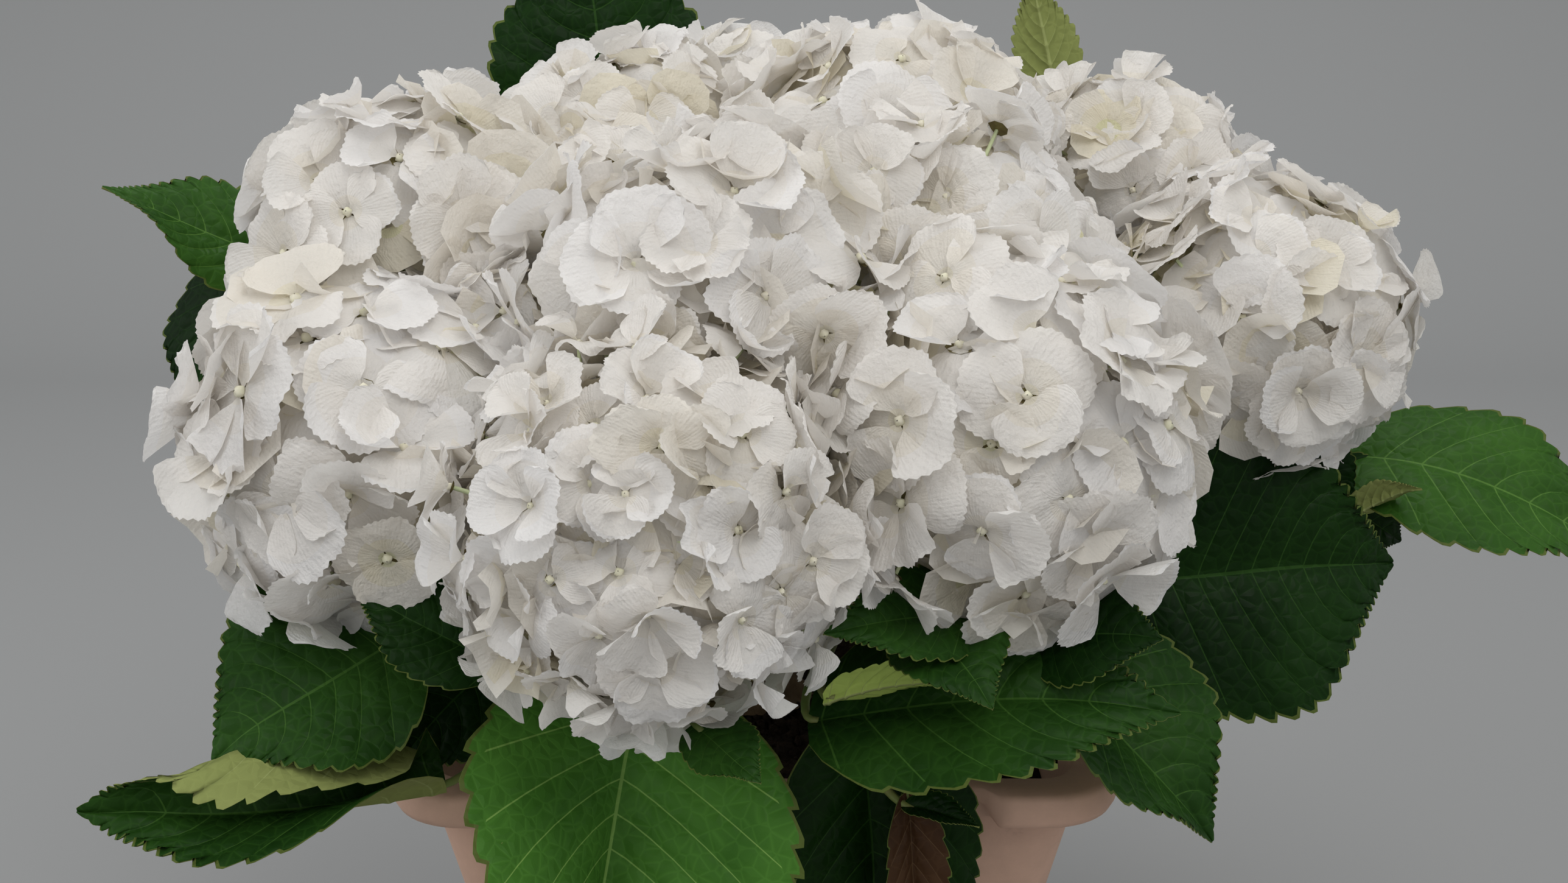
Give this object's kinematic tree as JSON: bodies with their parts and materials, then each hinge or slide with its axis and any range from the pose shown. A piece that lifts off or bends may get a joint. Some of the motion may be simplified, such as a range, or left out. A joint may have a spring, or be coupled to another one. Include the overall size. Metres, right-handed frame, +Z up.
{
  "type": "potted hydrangea shrub",
  "caption": "White mophead hydrangea shrub with round flower heads and broad toothed leaves, growing in a tapered rounded-square planter with side grips.",
  "frame": {"origin": "middle of the planter's flat underside", "axes": "+Z up, -Y towards the side seen in the picture, +X to that view's right"},
  "size_m": [0.662, 0.5202, 0.572],
  "materials": {
    "planter": "matte pale pink",
    "soil": "rough moist potting soil",
    "bark": "rough bark",
    "stem": "green stem, satin",
    "leaf": "dark green, satin",
    "petal": "soft white, matte"
  },
  "bodies": {
    "root": {"planter": "planter", "soil": "soil", "woody_foot": "bark", "stem_front": "stem", "stem_left": "stem", "stem_left_upper": "stem", "stem_top_left": "stem", "stem_centre": "stem", "stem_top_centre": "stem", "stem_middle": "stem", "stem_right_front": "stem", "stem_right": "stem", "stem_top_right": "stem", "stem_inner_right": "stem", "stem_inner_left": "stem", "stem_back_left": "stem", "stem_back": "stem", "stem_back_top": "stem", "stem_back_right": "stem", "stem_back_far_right": "stem", "stem_inner_front": "stem", "foliage_front": "leaf", "foliage_left": "leaf", "foliage_left_upper": "leaf", "foliage_top_left": "leaf", "foliage_right_front": "leaf", "foliage_right": "leaf", "foliage_top_right": "leaf", "foliage_back_left": "leaf", "foliage_back": "leaf", "foliage_back_right": "leaf", "foliage_back_far_right": "leaf", "foliage_left_low": "leaf", "foliage_front_low": "leaf", "foliage_right_low": "leaf", "foliage_back_low": "leaf", "flower_head_front": "petal", "flower_head_left": "petal", "flower_head_left_upper": "petal", "flower_head_top_left": "petal", "flower_head_centre": "petal", "flower_head_top_centre": "petal", "flower_head_middle": "petal", "flower_head_right_front": "petal", "flower_head_right": "petal", "flower_head_top_right": "petal", "flower_head_inner_right": "petal", "flower_head_inner_left": "petal", "flower_head_back_left": "petal", "flower_head_back": "petal", "flower_head_back_top": "petal", "flower_head_back_right": "petal", "flower_head_back_far_right": "petal", "flower_head_inner_front": "petal"}
  },
  "joints": []
}
